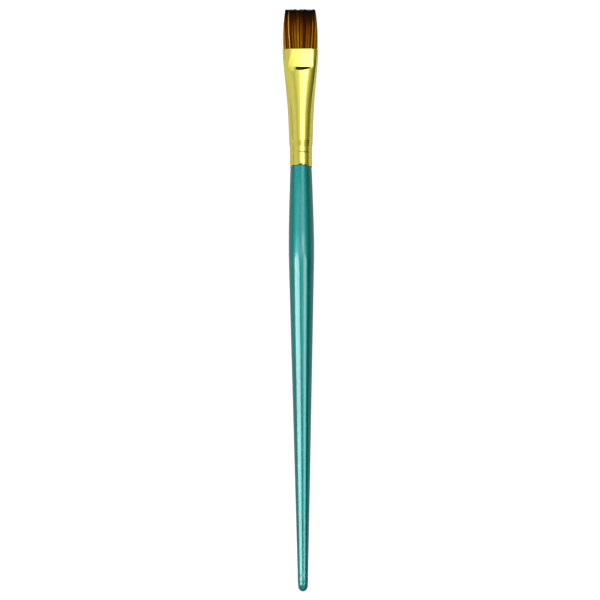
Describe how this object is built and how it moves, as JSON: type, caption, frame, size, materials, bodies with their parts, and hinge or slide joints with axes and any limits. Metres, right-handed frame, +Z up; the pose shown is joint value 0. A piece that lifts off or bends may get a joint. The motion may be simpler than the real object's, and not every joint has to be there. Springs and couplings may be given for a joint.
{
  "type": "flat artist's paint brush",
  "caption": "Flat half-inch artist's brush: turned lacquered handle, crimped metal ferrule pressed flat at the mouth, and a level-trimmed tuft of brown synthetic hair that flexes.",
  "frame": {"origin": "centre of the bounding box on the table the brush lies on, below the middle of its length", "axes": "+Y towards the tip of the hair, along the brush; +X across the flat of the ferrule; +Z up, out of the ferrule's upper flat. The brush lies as on a table, on the belly of its handle and the rear of its ferrule, so its own axis dips 0.7 degrees towards the hair"},
  "size_m": [0.0126, 0.212, 0.009],
  "materials": {
    "teal_lacquer": "pearl teal lacquer on turned hardwood, high gloss",
    "gold_metal": "polished gold-coloured metal with fine draw lines",
    "glue": "cured wood glue",
    "epoxy": "cast amber resin",
    "thread": "twisted thread",
    "root_hair": "packed synthetic filament",
    "dark_hair": "fine synthetic filament, near black",
    "brown_hair": "fine synthetic filament, dark brown",
    "amber_hair": "fine synthetic filament, golden amber"
  },
  "bodies": {
    "brush": {"handle": "teal_lacquer", "ferrule": "gold_metal", "handle_adhesive": "glue", "epoxy_plug": "epoxy", "binding_thread": "thread", "filament_roots": "root_hair"},
    "tuft": {"filament_lock_01": "brown_hair", "filament_lock_02": "dark_hair", "filament_lock_03": "amber_hair", "filament_lock_04": "brown_hair", "filament_lock_05": "dark_hair", "filament_lock_06": "amber_hair", "filament_lock_07": "brown_hair", "filament_lock_08": "dark_hair", "filament_lock_09": "amber_hair", "filament_lock_10": "brown_hair", "filament_lock_11": "dark_hair", "filament_lock_12": "amber_hair", "filament_lock_13": "brown_hair", "filament_lock_14": "dark_hair", "filament_lock_15": "amber_hair", "filament_lock_16": "brown_hair"}
  },
  "joints": [
    {"name": "tuft_flex", "type": "hinge", "parent": "brush", "child": "tuft", "pos_m": [0, 0.09264, 0.00358], "axis": [1, 0, 0], "range_deg": [-40, 40], "stiffness_Nm_per_rad": 0.006}
  ]
}
